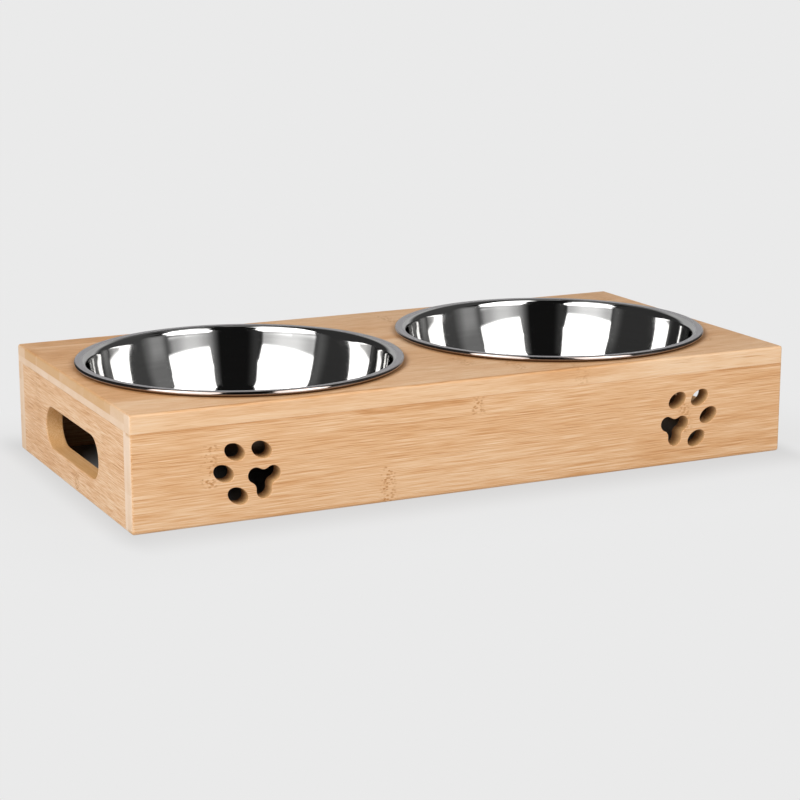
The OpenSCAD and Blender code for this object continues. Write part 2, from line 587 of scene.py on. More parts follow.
@dataclass(frozen=True)
class BambooFinish:
    """Sanded laminated bamboo: strips side by side, fine fibres, knuckles and pale end grain.

    Lengths and relief are in millimetres, the seam's blur in strips and rates in cells per metre. A share
    is how strongly a pattern counts, and a pair of limits is where something starts to show and where it
    shows fully.
    """

    strip_w: float = 22.0
    skin_t: float = 6.0
    tones: tuple[tuple[float, Colour], ...] = (
        (0.12, (0.44, 0.196, 0.066)),
        (0.34, (0.605, 0.318, 0.138)),
        (0.50, (0.680, 0.404, 0.212)),
        (0.66, (0.750, 0.497, 0.297)),
        (0.88, (0.800, 0.590, 0.400)),
    )
    dash_tone: Colour = (0.48, 0.222, 0.076)
    seam_tone: Colour = (0.48, 0.265, 0.115)
    knuckle_pale: Colour = (0.76, 0.52, 0.31)
    knuckle_dark: Colour = (0.46, 0.215, 0.075)
    end_pale: Colour = (0.80, 0.630, 0.485)
    end_tan: Colour = (0.60, 0.360, 0.165)
    end_dot: Colour = (0.50, 0.310, 0.170)
    cut_sanded: Colour = (0.82, 0.455, 0.130)
    # Colours of a scorched wall at its lip and deep inside, where it is darker as painted shade.
    cut_near: Colour = (0.60, 0.372, 0.165)
    cut_deep_shade: Colour = (0.25, 0.120, 0.040)
    # Colour of the painted shadow round the bowls' rims.
    rim_shadow_tone: Colour = (0.30, 0.125, 0.035)
    fibres: tuple[tuple[str, Fibre], ...] = (
        ("drift", Fibre(150.0, 18.0, 1.0)),
        ("broad", Fibre(60.0, 4.5)),
        ("streak", Fibre(45.0, 1.2)),
        ("fibre", Fibre(26.0, 0.42)),
        ("dash", Fibre(60.0, 0.55, 1.0)),
    )
    fibre_roughness: float = 0.6
    strip_shift: float = 7.0
    stray: float = 0.4
    stray_rates: Point = (9.0, 30.0)
    facing_limits: Point = (0.55, 0.85)
    slow_shares: Shares = (("tint", 0.08), ("drift", 0.34))
    grain_shares: Shares = (("broad", 0.10), ("streak", 0.18), ("fibre", 1.35))
    middle_tone: float = 0.5
    side_calm: float = 0.5
    side_skin_tone: float = -0.04
    side_core_tone: float = 0.06
    mark_blur: float = 0.8
    dash_limits: Point = (0.12, 0.21)
    dash_gap_limits: Point = (-0.12, 0.12)
    dash_share: float = 0.60
    seam_blur: float = 0.010
    seam_share: float = 0.18
    fray: float = 9.0
    fray_w: float = 1.5
    fray_rate: float = 250.0
    knuckle_limits: Point = (1.0, 6.0)
    knuckle_blur: float = 0.5
    knuckle_share: float = 0.10
    speck_l: float = 2.0
    speck_w: float = 1.25
    speck_limits: Point = (0.32, 0.56)
    speck_fray: float = 1.6
    speck_base: float = 0.9
    speck_share: float = 0.95
    # Where and how strongly the painted shadow round each bowl's rim shows.
    rim_shadow_inner: Point = (-4.0, -2.0)
    rim_shadow_outer: Point = (0.0, 4.0)
    rim_shadow_front_limits: Point = (-0.2, 0.5)
    rim_shadow_back_share: float = 0.35
    rim_shadow_share: float = 0.65
    pore_w: float = 0.9
    pore_rate: float = 40.0
    pore_limits: Point = (0.12, 0.42)
    pore_share: float = 0.16
    tan_shares: Shares = (("streak", 0.4), ("drift", 0.9))
    tan_block_core: float = 0.12
    tan_block_skin: float = 0.2
    tan_marks: float = 6.0
    tan_base: float = -0.1
    end_share: float = 0.85
    end_cut_limits: Point = (0.05, 0.30)
    # Depths over which a scorched wall darkens as painted shade.
    wall_shade_limits: Point = (0.5, 9.0)
    wall_start: Point = (0.2, 1.0)
    wall_share: float = 0.78
    scorch_and_shade_limits: Point = (0.5, 0.9)
    rough: float = 0.50
    rough_shares: Shares = (("fibre", 0.3), ("cut", 0.2), ("dash", 0.1))
    specular: float = 0.30
    relief: Shares = (("fibre", 0.030), ("streak", 0.030), ("dash", -0.04), ("speck", -0.02), ("seam", -0.02))
    relief_strength: float = 0.5

    def material(self, board: "Board") -> bpy.types.Material:
        """Makes the finish for one board.

        Args:
            board: The board, whose lay, seams, knuckles and tone the pattern follows.

        Returns:
            The material.
        """
        g = MaterialGraph(f"{board.piece_name}_bamboo")
        place = g.split(g.place)
        normals = g.split(g.node("ShaderNodeTexCoord", {}, {}, "Normal"))
        along, across, through = spot = tuple(place[i] for i in board.lay.value)
        ends, sides = (abs(normals[i]).step(*self.facing_limits) for i in board.lay.value[:2])
        strip = (across - board.seam_at * MM) / (self.strip_w * MM)
        row = strip.call("FLOOR")
        depth = abs(through - board.face_level())
        core = depth.call("GREATER_THAN", self.skin_t * MM)
        luck, tint, block = g.chance(row, core, board.seed)
        shift = luck * self.strip_shift
        stray_along, stray_across = self.stray_rates
        stray = g.noise(g.vector(along * stray_along, across * stray_across, through * stray_across))
        bent = across + stray * (self.stray * MM)

        def drawn(kind: Fibre) -> Wire:
            """Adds noise that is drawn out along the grain.

            Args:
                kind: The fibre.

            Returns:
                The noise, about 0.
            """
            length, width = kind.length * board.stretch * MM, kind.width * MM
            stretched = g.vector(along / length + shift, bent / width, through / width)
            return g.noise(stretched, kind.detail, self.fibre_roughness)

        patterns = {name: drawn(kind) for name, kind in self.fibres}
        patterns["tint"] = tint - MEAN
        gap = patterns["broad"].step(*self.dash_gap_limits)
        patterns["dash"] = patterns["dash"].step(*self.dash_limits) * (1.0 - gap)
        marks: Wire | float = 0.0
        for mark in board.streaks:
            spread = along.within(mark.start * MM, mark.end * MM, mark.fade * MM)
            spread = spread * bent.within(mark.low * MM, mark.high * MM, self.mark_blur * MM)
            marks = spread * mark.tone + marks

        grain = blend(patterns, self.grain_shares) * (1.0 - sides * self.side_calm)
        tone = blend(patterns, self.slow_shares) * board.drift + grain * board.grain
        tone = tone + sides * (core * self.side_core_tone + self.side_skin_tone)
        tone = tone + marks + (self.middle_tone + board.tone)
        colour = g.ramp(tone, self.tones)
        colour = g.mix(patterns["dash"] * (self.dash_share * board.grain), colour, self.dash_tone)
        edge = strip - row
        patterns["seam"] = 1.0 - edge.call("MINIMUM", 1.0 - edge).step(0.0, self.seam_blur)
        colour = g.mix(patterns["seam"] * self.seam_share, colour, self.seam_tone)
        knuckle, patterns["speck"] = self._knuckles(g, board, spot)
        colour = g.mix(knuckle * self.knuckle_share, colour, self.knuckle_pale)
        colour = g.mix(patterns["speck"] * self.speck_share, colour, self.knuckle_dark)
        # Paints the shadow of each bowl's rim on the wood.
        for ring in board.rings:
            colour = g.mix(self._ring(along, across, *ring), colour, self.rim_shadow_tone)

        patterns["cut"] = cut = g.node("ShaderNodeAttribute", {"attribute_name": CUT_ATTRIBUTE}, {}, "Fac")
        outer = 1.0 - core
        skin_tan, core_tan = board.end_tan
        tanned = block * (outer * self.tan_block_skin + self.tan_block_core) + outer * (skin_tan - core_tan)
        tanned = tanned + blend(patterns, self.tan_shares, core_tan + self.tan_base)
        tanned = tanned - marks * outer * self.tan_marks
        end_tone = g.mix(tanned, self.end_pale, self.end_tan)
        end_tone = g.mix(self._pores(g, spot) * self.pore_share, end_tone, self.end_dot)
        bare = 1.0 - cut.step(*self.end_cut_limits)
        colour = g.mix(ends * bare * self.end_share, colour, end_tone)

        # Scorched walls darken with depth as painted shade; sanded ones keep one colour.
        wall_and_shade = g.mix(depth.step(*metres(self.wall_shade_limits)), self.cut_near, self.cut_deep_shade)
        wall_and_shade = g.mix(cut.step(*self.scorch_and_shade_limits), self.cut_sanded, wall_and_shade)
        colour = g.mix(cut * depth.step(*metres(self.wall_start)) * self.wall_share, colour, wall_and_shade)
        return g.close({
            "Base Color": colour,
            "Roughness": blend(patterns, self.rough_shares, self.rough),
            "Specular IOR Level": self.specular,
            "Normal": g.bump(blend(patterns, self.relief), self.relief_strength),
        })

    def _knuckles(
        self, g: MaterialGraph, board: "Board", spot: tuple[Wire, Wire, Wire]
    ) -> tuple[Wire, Wire]:
        """Draws a board's knuckles.

        Args:
            g: The material's graph.
            board: The board.
            spot: Place along the grain, across the strips and through the thickness.

        Returns:
            The bars' mask, and the dark specks inside them.
        """
        along, across, through = spot
        width = self.fray_w * MM
        frayed = g.noise(g.vector(along * self.fray_rate, across / width, through / width))
        strayed = along + frayed * (self.fray * MM)
        mask: Wire | float = 0.0
        for mark in board.knuckles:
            bar = 1.0 - abs(strayed - mark.along * MM).step(*metres(self.knuckle_limits))
            bar = bar * across.within(mark.low * MM, mark.high * MM, self.knuckle_blur * MM) * mark.weight
            mask = bar.call("MAXIMUM", mask)
        width = self.speck_w * MM
        grains = g.cells(g.vector(along / (self.speck_l * MM), across / width, through / width))
        specks = (1.0 - grains.step(*self.speck_limits)) * (frayed * self.speck_fray + self.speck_base)
        return mask, mask * specks

    def _ring(self, along: Wire, across: Wire, centre: Point, radius: float) -> Wire:
        """Paints the shadow that a bowl's rim casts on the wood, which is darker in front.

        Args:
            along: Place along the grain.
            across: Place across the strips.
            centre: The middle of the painted shadow.
            radius: The rim's radius.

        Returns:
            How strongly the painted shadow shows.
        """
        off_x, off_y = along - centre[0], across - centre[1]
        reach = (off_x * off_x + off_y * off_y).call("SQRT")
        shade = reach.step(*metres(self.rim_shadow_inner, radius))
        shade = shade * (1.0 - reach.step(*metres(self.rim_shadow_outer, radius)))
        front = (0.0 - off_y / radius).step(*self.rim_shadow_front_limits)
        return shade * (front * (1.0 - self.rim_shadow_back_share) + self.rim_shadow_back_share) * self.rim_shadow_share

    def _pores(self, g: MaterialGraph, spot: tuple[Wire, Wire, Wire]) -> Wire:
        """Scatters the dots of the end grain.

        Args:
            g: The material's graph.
            spot: Place along the grain, across the strips and through the thickness.

        Returns:
            The dots' mask.
        """
        along, across, through = spot
        width = self.pore_w * MM
        dots = g.cells(g.vector(along * self.pore_rate, across / width, through / width))
        return 1.0 - dots.step(*self.pore_limits)


@dataclass(frozen=True)
class Turning:
    """Lines left by turning: their widths across and down in millimetres, and their breaks per metre."""

    across: float
    down: float
    breaks: float


@dataclass(frozen=True)
class SteelFinish:
    """Drawn stainless steel: polished inside with faint turning lines, satin on the rim, dull outside,
    darkened there as painted shade.

    Lengths and relief are in millimetres. The flat limits count from the rim's inner curve, the bead's from
    where the rolled edge starts, and those of the painted shade under the bead and of the dull, shaded
    outside from the level that the rim rests on.
    """

    polished: Colour = (0.70, 0.695, 0.685)
    satin: Colour = (0.575, 0.555, 0.575)
    # The outside's colour: dull steel, darkened as painted shade for the dark inside of the box.
    dull_shaded: Colour = (0.21, 0.185, 0.165)
    smudge: Colour = (0.55, 0.545, 0.54)
    rolled: Colour = (0.40, 0.335, 0.305)
    # Painted shade on the underside of the rolled edge, where it meets the wood.
    bead_shade: Colour = (0.10, 0.066, 0.045)
    turnings: tuple[tuple[str, Turning], ...] = (
        ("lines", Turning(0.35, 0.5, 14.0)),
        ("bands", Turning(2.5, 3.0, 6.0)),
    )
    wave_rates: tuple[float, float, float] = (34.0, 34.0, 40.0)
    wave_detail: float = 1.0
    level_limits: Point = (0.80, 0.98)
    outward_limits: Point = (0.02, 0.20)
    under_limits: Point = (0.2, 0.6)
    flat_limits: Point = (-2.0, -1.0)
    bead_limits: Point = (-0.5, 0.0)
    bead_shade_limits: Point = (0.7, 1.7)
    dull_shaded_limits: Point = (-1.0, 0.0)
    bead_shade_share: float = 0.85
    smudge_base: float = 0.12
    smudge_shares: Shares = (("lines", 0.3), ("bands", 0.6))
    rough: float = 0.045
    rough_shares: Shares = (("flat", 0.26), ("outside", 0.30), ("lines", 0.05), ("bands", 0.04))
    relief: Shares = (("waves", 0.035), ("lines", 0.0012))

    def material(self, bowl: "Bowl") -> bpy.types.Material:
        """Makes the finish for one bowl.

        Args:
            bowl: The bowl, whose axis and rim the finish follows.

        Returns:
            The material.
        """
        g = MaterialGraph(f"{bowl.piece_name}_steel")
        centred = {"Vector": g.place, "Location": (-bowl.centre.x, 0, 0)}
        x, y, z = g.split(g.node("ShaderNodeMapping", {}, centred))
        normal_x, normal_y, normal_z = g.split(g.node("ShaderNodeTexCoord", {}, {}, "Normal"))
        r = (x * x + y * y).call("SQRT").call("MAXIMUM", MM)
        outward = ((normal_x * x + normal_y * y) / r).step(*self.outward_limits)
        under = (0.0 - normal_z).step(*self.under_limits)
        flat = normal_z.step(*self.level_limits) * r.step(*metres(self.flat_limits, bowl.mouth_x()))
        bead = r.step(*metres(self.bead_limits, bowl.bead_r()))
        # low marks the bead's underside, which gets painted shade.
        low = 1.0 - z.step(*metres(self.bead_shade_limits, bowl.rest_z))
        below = 1.0 - z.step(*metres(self.dull_shaded_limits, bowl.rest_z))
        outside = outward.call("MAXIMUM", under) * below
        patterns = {"flat": flat, "outside": outside}
        for name, kind in self.turnings:
            rings = r / (kind.across * MM) + z / (kind.down * MM)
            patterns[name] = g.noise(g.vector(rings, x * kind.breaks, y * kind.breaks))
        rippled = g.vector(*(axis * rate for axis, rate in zip((x, y, z), self.wave_rates)))
        patterns["waves"] = g.noise(rippled, self.wave_detail) * (1.0 - flat)
        colour = g.mix(flat, self.polished, self.satin)
        # The outside is dull and also darkened as painted shade.
        colour = g.mix(outside, colour, self.dull_shaded)
        colour = g.mix(blend(patterns, self.smudge_shares, self.smudge_base), colour, self.smudge)
        colour = g.mix(bead * (1.0 - flat), colour, self.rolled)
        # Paints shade on the bead's underside.
        colour = g.mix(bead * low * self.bead_shade_share, colour, self.bead_shade)
        return g.close({
            "Base Color": colour,
            "Metallic": 1.0,
            "Roughness": blend(patterns, self.rough_shares, self.rough),
            "Normal": g.bump(blend(patterns, self.relief), 1.0),
        })


@dataclass(frozen=True)
class DowelFinish:
    """Bare turned beech with short flecks. Lengths and relief in millimetres."""

    pale: Colour = (0.74, 0.53, 0.33)
    fleck: Colour = (0.52, 0.32, 0.17)
    fleck_w: float = 0.8
    fleck_limits: Point = (0.25, 0.5)
    cloud_w: float = 6.25
    cloud_detail: float = 3.0
    tone: float = 0.5
    tone_shares: Shares = (("plain", -0.4), ("cloud", 0.6))
    rough: float = 0.6
    rough_shares: Shares = (("cloud", 0.2),)
    relief: Shares = (("plain", 0.02),)
    relief_strength: float = 0.5

    def material(self) -> bpy.types.Material:
        """Makes the finish.

        Returns:
            The material.
        """
        g = MaterialGraph("dowel_beech")
        place = g.split(g.place)
        flecks, clouds = (g.vector(*(p / (w * MM) for p in place)) for w in (self.fleck_w, self.cloud_w))
        patterns = {
            "plain": g.cells(flecks).step(*self.fleck_limits),
            "cloud": g.noise(clouds, self.cloud_detail),
        }
        return g.close({
            "Base Color": g.mix(blend(patterns, self.tone_shares, self.tone), self.pale, self.fleck),
            "Roughness": blend(patterns, self.rough_shares, self.rough),
            "Normal": g.bump(blend(patterns, self.relief), self.relief_strength),
        })


@dataclass
class Board:
    """One bamboo board of the box: a block with eased edges, its holes and bores, and its finish.

    Its seam, knuckles and streaks are placed in millimetres. grain and drift scale the fine and the slow
    changes of tone, stretch scales the fibres' length, end_tan is how tanned the end grain is in the skin
    and in the core, and rings are where the shadows of the bowls' rims are painted.
    """

    node: str
    piece_name: str
    lay: Lay
    face: Side
    seam_at: float
    seed: float
    tone: float = 0.0
    grain: float = 1.0
    drift: float = 1.0
    end_tan: tuple[float, float] = (0.1, 0.1)
    knuckles: Sequence[Knuckle] = ()
    streaks: Sequence[Streak] = ()
    holes: Sequence[Cut] = ()
    bores: dict[tuple[int, Side], list[Cut]] = field(default_factory=dict)
    rings: Sequence[tuple[Point, float]] = ()
    stretch: float = 1.0
    edge_r: float = 1.5 * MM
    joint_ease: float = 0.12 * MM
    round_steps: int = 5
    lip_steps: int = 5
    joint_angle: float = 60.0
    smooth_angle: float = 50.0
    face_weight: int = 100
    nearness: float = 0.01 * MM
    squareness: float = 0.999

    def __post_init__(self) -> None:
        """Reads the board's corners from the frame."""
        self.low, self.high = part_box(self.node)

    def face_level(self) -> float:
        """Gives the level of the board's outer face, through its thickness."""
        corner = self.high if self.face is Side.HIGH else self.low
        return corner[self.lay.value[2]]

    def build(self, box_low: Vector, box_high: Vector, finish: BambooFinish) -> bpy.types.Object:
        """Makes the board's mesh and dresses it.

        Args:
            box_low: Lowest corner of the whole box.
            box_high: Highest corner of the whole box.
            finish: The bamboo.

        Returns:
            The board.
        """
        bm = bmesh.new()
        bmesh.ops.create_cube(bm, size=1.0)
        for vert in bm.verts:
            vert.co = [a + (c + 0.5) * (b - a) for a, b, c in zip(self.low, self.high, vert.co)]
        self._ease_edges(bm, box_low, box_high)
        self._cut_holes(bm)
        bmesh.ops.recalc_face_normals(bm, faces=bm.faces)
        mesh = bpy.data.meshes.new(self.piece_name)
        bm.to_mesh(mesh)
        bm.free()
        mesh.shade_smooth()
        mesh.set_sharp_from_angle(angle=math.radians(self.smooth_angle))
        board = new_piece(self.piece_name, mesh)
        weighted = board.modifiers.new("flat faces", "WEIGHTED_NORMAL")
        weighted.keep_sharp = True
        weighted.weight = self.face_weight
        bake_modifiers(board)
        board.data.materials.append(finish.material(self))
        attach(board, "stand", self.node)
        return board

    def _ease_edges(self, bm: bmesh.types.BMesh, box_low: Vector, box_high: Vector) -> None:
        """Rounds the edges on the outside of the box, and just breaks those at the joints.

        Args:
            bm: The board's mesh.
            box_low: Lowest corner of the whole box.
            box_high: Highest corner of the whole box.
        """

        def outside(edge: bmesh.types.BMEdge) -> bool:
            """Tells whether an edge lies on two outer faces of the box.

            Args:
                edge: The edge.

            Returns:
                True if it does.
            """
            middle = (edge.verts[0].co + edge.verts[1].co) / 2
            gaps = [abs(c - v) for corner in (box_low, box_high) for c, v in zip(corner, middle)]
            return sum(gap < self.nearness for gap in gaps) >= 2

        rounded = [edge for edge in bm.edges if outside(edge)]
        shared = {"offset_type": "OFFSET", "profile": 0.5, "affect": "EDGES", "clamp_overlap": True}
        bmesh.ops.bevel(bm, geom=rounded, offset=self.edge_r, segments=self.round_steps, **shared)
        sharp = [edge for edge in bm.edges if edge.calc_face_angle(0.0) > math.radians(self.joint_angle)]
        bmesh.ops.bevel(bm, geom=sharp, offset=self.joint_ease, segments=1, **shared)

    def _cut_holes(self, bm: bmesh.types.BMesh) -> None:
        """Cuts the holes through the board and the bores into it, and closes the faces round them.

        Args:
            bm: The board's mesh.
        """
        layer = bm.verts.layers.float.new(CUT_ATTRIBUTE)
        axis = self.lay.value[2]
        rims: dict[tuple[int, Side], list[Loop]] = {
            key: [self._bore(bm, *key, bore) for bore in bores] for key, bores in self.bores.items()
        }
        for hole in self.holes:
            rings = self._through(bm, axis, hole)
            for ring in rings[1:-1]:
                for vert in ring:
                    vert[layer] = hole.scorch_and_shade
            rims.setdefault((axis, Side.LOW), []).append(rings[0])
            rims.setdefault((axis, Side.HIGH), []).append(rings[-1])
        for (face_axis, side), loops in rims.items():
            self._refill(bm, face_axis, side, loops)

    @staticmethod
    def _ring(bm: bmesh.types.BMesh, points: list[Point], axis: int, level: float) -> Loop:
        """Lays a ring of points on a plane square to an axis.

        Args:
            bm: The board's mesh.
            points: The points on the plane.
            axis: The axis.
            level: The plane's place on the axis.

        Returns:
            The ring.
        """
        ring = []
        for point in points:
            co = list(point)
            co.insert(axis, level)
            ring.append(bm.verts.new(co))
        return ring

    @staticmethod
    def _join(bm: bmesh.types.BMesh, rings: Sequence[Loop]) -> None:
        """Joins each ring to the next with a band of faces.

        Args:
            bm: The board's mesh.
            rings: The rings in order, with as many points each.
        """
        for first, second in zip(rings, rings[1:]):
            for i in range(len(first)):
                bm.faces.new((first[i - 1], first[i], second[i], second[i - 1]))

    def _through(self, bm: bmesh.types.BMesh, axis: int, hole: Cut) -> list[Loop]:
        """Lines a hole that goes through the board, with an eased lip at both faces.

        Args:
            bm: The board's mesh.
            axis: The axis that the hole runs along.
            hole: The hole.

        Returns:
            Its rings from the low face to the high one.
        """
        quarter = [math.pi / 2 * i / self.lip_steps for i in range(self.lip_steps + 1)]
        lip = [(hole.lip * (1 - math.sin(t)), hole.lip * (1 - math.cos(t))) for t in quarter]
        low, high = self.low[axis], self.high[axis]
        levels = [(grow, low + deep) for grow, deep in lip]
        levels += [(grow, high - deep) for grow, deep in reversed(lip)]
        rings = [self._ring(bm, hole.contour(grow), axis, level) for grow, level in levels]
        self._join(bm, rings)
        return rings

    def _bore(self, bm: bmesh.types.BMesh, axis: int, side: Side, bore: Cut) -> Loop:
        """Lines a blind bore.

        Args:
            bm: The board's mesh.
            axis: The axis that the bore runs along.
            side: The side of the board that it is in.
            bore: The bore.

        Returns:
            The ring at its mouth.
        """
        mouth = (self.high if side is Side.HIGH else self.low)[axis]
        points = bore.contour(0.0)
        levels = (mouth, mouth - side.value * bore.depth)
        rings = [self._ring(bm, points, axis, level) for level in levels]
        self._join(bm, rings)
        bm.faces.new(rings[1])
        return rings[0]

    def _refill(self, bm: bmesh.types.BMesh, axis: int, side: Side, loops: Sequence[Loop]) -> None:
        """Replaces a flat face of the block by one with holes in it.

        Args:
            bm: The board's mesh.
            axis: The axis that the face is square to.
            side: The side of the board that it is on.
            loops: The rings round the holes.
        """
        flat = [face for face in bm.faces if face.normal[axis] * side.value > self.squareness]
        face = max(flat, key=lambda f: f.calc_area())
        edges = list(face.edges)
        bmesh.ops.delete(bm, geom=[face], context="FACES_ONLY")
        for loop in loops:
            edges += [bm.edges.get((loop[i - 1], loop[i])) for i in range(len(loop))]
        normal = [0.0, 0.0, 0.0]
        normal[axis] = float(side.value)
        bmesh.ops.triangle_fill(bm, edges=edges, use_beauty=True, normal=normal)


@dataclass
class Bowl:
    """A drawn steel bowl with a narrow rim and a rolled edge, spun by Geometry Nodes. Sizes in metres."""

    node: str
    piece_name: str
    rim_w: float = 7.5 * MM
    bead_d: float = 3.0 * MM
    sheet_t: float = 0.6 * MM
    depth: float = 48.5 * MM
    wall_lean: float = 9.0
    wall_r: float = 138.0 * MM
    floor_r: float = 25.0 * MM
    mouth_r: float = 4.2 * MM
    bead_sweep: float = 288.0
    spokes: int = 240

    def __post_init__(self) -> None:
        """Reads the bowl's axis, rim and resting height from the frame."""
        low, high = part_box(self.node)
        self.centre = Vector(((low.x + high.x) / 2, (low.y + high.y) / 2, 0.0))
        self.rim_d = high.x - low.x
        self.rest_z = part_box("top_panel")[1].z

    def axis(self) -> Point:
        """Gives the place of the bowl's axis on the floor."""
        return self.centre.x, self.centre.y

    def mouth_x(self) -> float:
        """Gives the radius at which the rim starts to turn down into the wall."""
        return self.rim_d / 2 - self.rim_w + self.mouth_r * math.cos(math.radians(self.wall_lean))

    def neck_r(self) -> float:
        """Gives the outer radius of the sheet at the level that the bowl rests on."""
        rise = max(0.0, self.mouth_r - self.bead_d)
        return self.mouth_x() - math.sqrt((self.mouth_r - self.sheet_t) ** 2 - rise**2)

    def bead_r(self) -> float:
        """Gives the radius at which the rolled edge starts."""
        return self.rim_d / 2 - self.bead_d

    @staticmethod
    def spinner() -> GeometryGraph:
        """Makes the tree that spins a bowl's section about its axis.

        Returns:
            A tree whose inputs are the bowl's sizes. Angles are in radians.
        """
        g = GeometryGraph("bowl_spinner")
        rim_d, rim_w, bead_d = g.size("Rim Diameter"), g.size("Rim Width"), g.size("Bead Diameter")
        sheet, depth, lean = g.size("Sheet"), g.size("Depth"), g.size("Wall Lean")
        wall_r, floor_r, mouth_r = g.size("Wall Radius"), g.size("Floor Radius"), g.size("Mouth Radius")
        rest, sweep = g.size("Rest Height"), g.size("Bead Sweep")
        spokes, centre = g.size("Spokes", "Int"), g.size("Centre", "Vector")

        bead_x, bead_z = (rim_d - bead_d) / 2.0, rest + bead_d / 2.0
        top = rest + bead_d
        lean_cos, lean_sin = lean.call("COSINE"), lean.call("SINE")
        mouth_x, mouth_z = rim_d / 2.0 - rim_w + mouth_r * lean_cos, top - mouth_r
        wall_x = mouth_x - (mouth_r + wall_r) * lean_cos
        wall_z = mouth_z + (mouth_r + wall_r) * lean_sin
        floor_z = top - depth + floor_r
        foot = ((wall_z - floor_z) / (wall_r - floor_r)).call("ARCSINE")
        floor_x = wall_x + (wall_r - floor_r) * foot.call("COSINE")
        half_turn, quarter = math.pi, math.pi / 2
        floor_steps, wall_steps, mouth_steps, bead_steps = 20, 28, 14, 36
        weld = 0.005 * MM

        def at(x: Wire | float, z: Wire) -> Wire:
            """Places a point of the section, with the height downwards as the sweep needs."""
            return g.vector(x - rim_d / 2.0, 0.0 - z, 0.0)

        def section(middle: Wire, radius: Wire, start: Wire | float, turn: Wire, steps: int) -> Wire:
            """Adds an arc of the section.

            Args:
                middle: Its middle.
                radius: Its radius.
                start: Its first angle.
                turn: The angle that it sweeps.
                steps: Number of points.

            Returns:
                The arc.
            """
            drawn = {"Resolution": steps, "Radius": radius, "Start Angle": start, "Sweep Angle": turn}
            curve = g.node("GeometryNodeCurveArc", {"mode": "RADIUS"}, drawn)
            return g.node("GeometryNodeTransform", {}, {"Geometry": curve, "Translation": middle})

        def line(start: Wire, end: Wire) -> Wire:
            """Adds a straight stretch of the section."""
            return g.node("GeometryNodeCurvePrimitiveLine", {}, {"Start": start, "End": end})

        stretches = []
        for under in (0.0, sheet):
            floor = top - depth - under
            stretches += [
                line(at(0.0, floor), at(floor_x, floor)),
                section(at(floor_x, floor_z), floor_r + under, foot, quarter - foot, floor_steps),
                section(at(wall_x, wall_z), wall_r + under, lean, foot - lean, wall_steps),
                section(at(mouth_x, mouth_z), mouth_r - under, half_turn + lean, quarter - lean, mouth_steps),
                line(at(mouth_x, top - under), at(bead_x, top - under)),
                section(at(bead_x, bead_z), bead_d / 2.0 - under, -quarter, sweep, bead_steps),
            ]
        end_cos, end_sin = (sweep - quarter).call("COSINE"), (sweep - quarter).call("SINE")
        stretches.append(line(*(
            at(bead_x + radius * end_cos, bead_z - radius * end_sin)
            for radius in (bead_d / 2.0 - sheet, bead_d / 2.0)
        )))
        join = g.tree.nodes.new("GeometryNodeJoinGeometry")
        for stretch in stretches:
            g.tree.links.new(stretch.socket, join.inputs[0])
        path = g.node("GeometryNodeCurvePrimitiveCircle", {}, {"Resolution": spokes, "Radius": rim_d / 2.0})
        path = g.node("GeometryNodeSetCurveNormal", {"mode": "Z_UP"}, {"Curve": path})
        swept = g.node("GeometryNodeCurveToMesh", {}, {
            "Curve": path, "Profile Curve": Wire(g, join.outputs[0]),
        })
        welded = g.node("GeometryNodeMergeByDistance", {}, {"Geometry": swept, "Distance": weld})
        smooth = g.node("GeometryNodeSetShadeSmooth", {}, {"Geometry": welded})
        g.close(g.node("GeometryNodeTransform", {}, {"Geometry": smooth, "Translation": centre}))
        return g

    def build(self, spinner: GeometryGraph, finish: SteelFinish) -> bpy.types.Object:
        """Spins the bowl and dresses it.

        Args:
            spinner: The tree that spins bowls.
            finish: The steel.

        Returns:
            The bowl.
        """
        bowl = new_piece(self.piece_name)
        spinner.make(bowl, {
            "Rim Diameter": self.rim_d,
            "Rim Width": self.rim_w,
            "Bead Diameter": self.bead_d,
            "Sheet": self.sheet_t,
            "Depth": self.depth,
            "Wall Lean": math.radians(self.wall_lean),
            "Wall Radius": self.wall_r,
            "Floor Radius": self.floor_r,
            "Mouth Radius": self.mouth_r,
            "Rest Height": self.rest_z,
            "Bead Sweep": math.radians(self.bead_sweep),
            "Spokes": self.spokes,
            "Centre": self.centre,
            "Material": finish.material(self),
        })
        bm = bmesh.new()
        bm.from_mesh(bowl.data)
        bmesh.ops.recalc_face_normals(bm, faces=bm.faces)
        bm.to_mesh(bowl.data)
        bm.free()
        attach(bowl, self.node, self.node)
        return bowl


@dataclass(frozen=True)
class DowelRow:
    """The dowels of one joint: where they cross it, and how their face ends are turned, in degrees."""

    node: str
    piece_name: str
    joints: Sequence[tuple[float, float, float]]
    turn: tuple[float, float, float]


